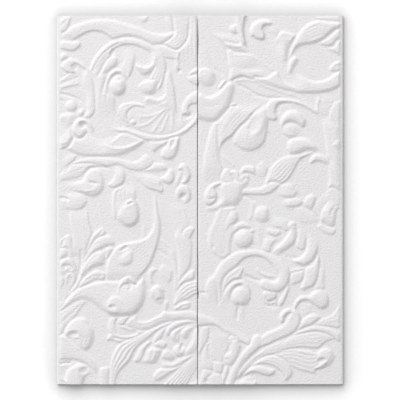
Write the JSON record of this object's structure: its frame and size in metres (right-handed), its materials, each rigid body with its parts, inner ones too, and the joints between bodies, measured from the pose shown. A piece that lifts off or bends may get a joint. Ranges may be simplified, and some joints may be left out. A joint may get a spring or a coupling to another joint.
{
  "type": "gatefold invitation card",
  "caption": "Closed gatefold card folded from one sheet of heavy white paper, two embossed leaf-scroll front leaves meeting at a near-central seam.",
  "frame": {"origin": "middle of the back panel's outer face, which the closed card lies on", "axes": "+X to the reader's right across the card, +Y along the folds to the card's top edge, +Z out through the front leaves"},
  "size_m": [0.1556, 0.2, 0.0047],
  "materials": {
    "paper": "uncoated white embossed stock with a fine felt grain"
  },
  "bodies": {
    "root": {"folded_sheet": "paper"}
  },
  "joints": []
}
